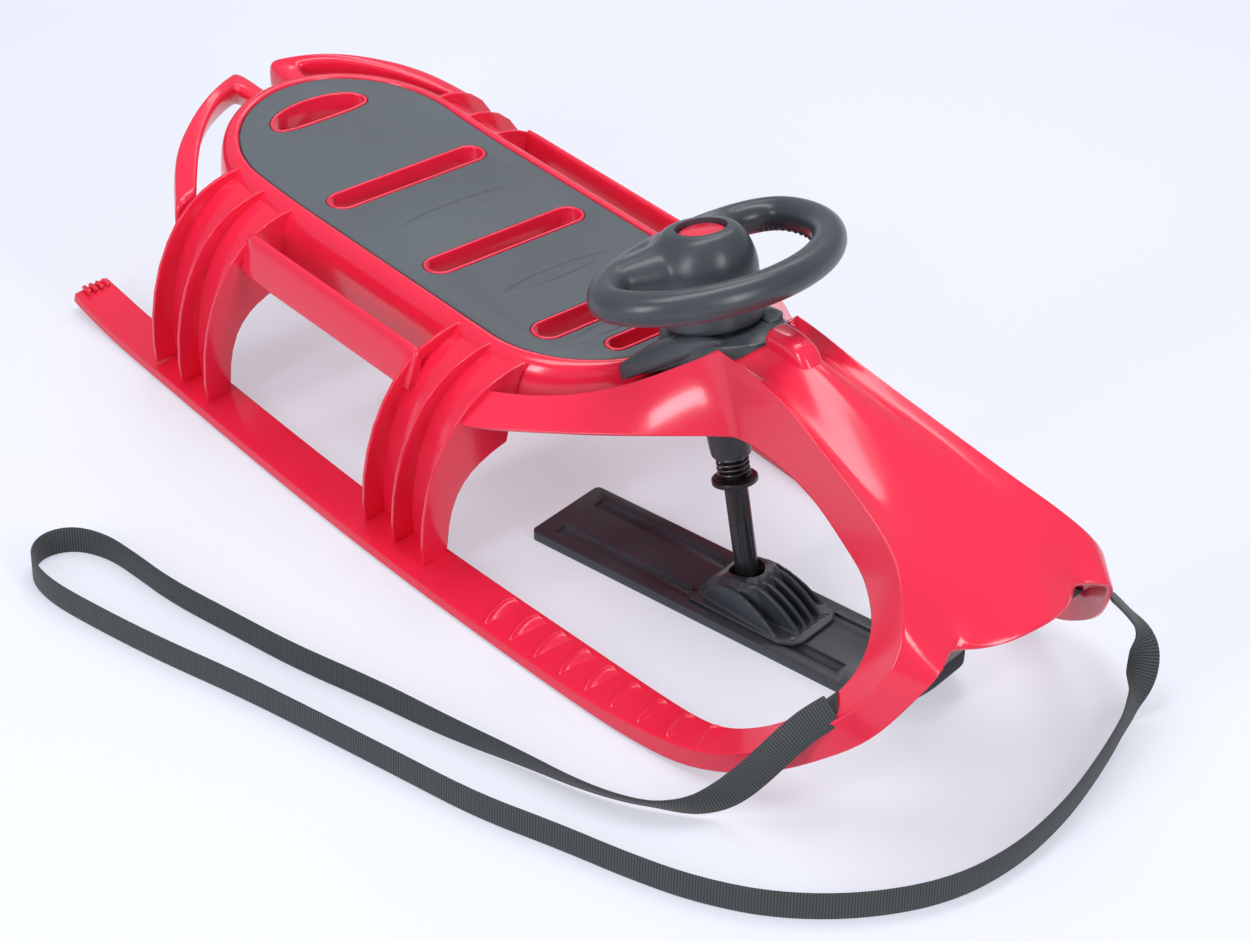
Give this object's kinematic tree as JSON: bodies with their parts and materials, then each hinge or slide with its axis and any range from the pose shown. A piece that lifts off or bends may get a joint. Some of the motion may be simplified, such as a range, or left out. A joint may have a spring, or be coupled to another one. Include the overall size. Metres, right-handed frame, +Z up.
{
  "type": "steering sled",
  "caption": "Moulded child's sled on curled runners, with a sprung steering ski turned by a wheel on a raked column, a slotted seat and a pull strap.",
  "frame": {"origin": "on the floor under the middle of the sled's length and width", "axes": "+X forward, +Y to the rider's left, +Z up"},
  "size_m": [1.1291, 0.658, 0.3519],
  "materials": {
    "body_red": "glossy",
    "pad_grey": "satin",
    "dark_grey": "satin",
    "black_plastic": "satin",
    "steel": "brushed",
    "black_steel": "satin",
    "webbing": "woven"
  },
  "bodies": {
    "sled": {"seat_deck": "body_red", "hood": "body_red", "neck_block": "body_red", "rail_right": "body_red", "rail_left": "body_red", "leg_rear_right": "body_red", "leg_rear_left": "body_red", "leg_front_right": "body_red", "leg_front_left": "body_red", "runner_right": "body_red", "runner_left": "body_red", "rear_handle_right": "body_red", "rear_handle_left": "body_red", "curl_right": "body_red", "curl_left": "body_red", "arm_right": "body_red", "arm_left": "body_red", "seat_pad": "pad_grey", "console": "dark_grey", "thrust_washer": "black_plastic", "runner_heel_right": "black_plastic", "runner_heel_left": "black_plastic", "strip_rivets": "steel", "runner_strip_right": "steel", "runner_strip_left": "steel", "pull_strap": "webbing", "strap_loop_right": "webbing", "strap_loop_left": "webbing"},
    "column": {"steering_wheel": "dark_grey", "column_tube": "black_plastic", "wheel_bolt": "steel", "retaining_ring": "steel", "suspension_spring": "steel", "horn_spring": "steel"},
    "horn": {"horn_button": "body_red"},
    "shaft": {"shaft": "black_steel", "shaft_flange": "black_steel", "foot_pin": "steel"},
    "ski": {"ski": "black_plastic", "ski_foot": "black_plastic", "foot_screws": "steel"}
  },
  "joints": [
    {"name": "steer", "type": "hinge", "parent": "sled", "child": "column", "pos_m": [0.2211, 0, 0], "axis": [-0.2504, 0, 0.9681], "range_deg": [-35.5, 14.5]},
    {"name": "suspension", "type": "slide", "parent": "column", "child": "shaft", "axis": [-0.2504, 0, 0.9681], "range_m": [0, 0.015], "stiffness_N_per_m": 4000, "springref_m": -0.01, "deforming": ["suspension_spring"]},
    {"name": "ski_pitch", "type": "hinge", "parent": "shaft", "child": "ski", "pos_m": [0.21334, 0, 0.03], "axis": [-0.1822, 0.9833, 0], "range_deg": [-8, 8]},
    {"name": "horn_press", "type": "slide", "parent": "column", "child": "horn", "axis": [0.2504, 0, -0.9681], "range_m": [0, 0.004], "stiffness_N_per_m": 400, "springref_m": -0.004, "deforming": ["horn_spring"]}
  ]
}
